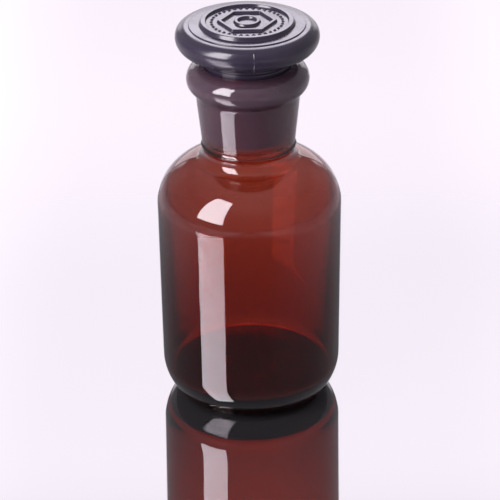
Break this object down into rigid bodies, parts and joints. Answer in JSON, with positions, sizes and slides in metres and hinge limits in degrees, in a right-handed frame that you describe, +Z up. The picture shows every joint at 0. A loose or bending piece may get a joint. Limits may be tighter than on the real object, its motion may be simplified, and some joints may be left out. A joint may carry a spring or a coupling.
{
  "type": "reagent bottle",
  "caption": "Wide-mouth round reagent bottle in amber glass, with a flat-headed ground glass stopper that lifts out of its neck.",
  "frame": {"origin": "on the bottle's axis, in the plane that the bottle stands on", "axes": "+Z up along the axis; -Y is the side that faces the viewer; the six-sided frame on the stopper has two corners on X"},
  "size_m": [0.07, 0.07, 0.1535],
  "materials": {
    "amber_glass": "fire-polished amber soda glass, ground frosted in the bore",
    "dark_glass": "pressed very dark amber glass, nearly opaque, ground frosted on the plug"
  },
  "bodies": {
    "bottle": {"bottle": "amber_glass"},
    "stopper": {"stopper": "dark_glass"}
  },
  "joints": [
    {"name": "stopper_lift", "type": "slide", "parent": "bottle", "child": "stopper", "axis": [0, 0, 1], "range_m": [0, 0.04]}
  ]
}
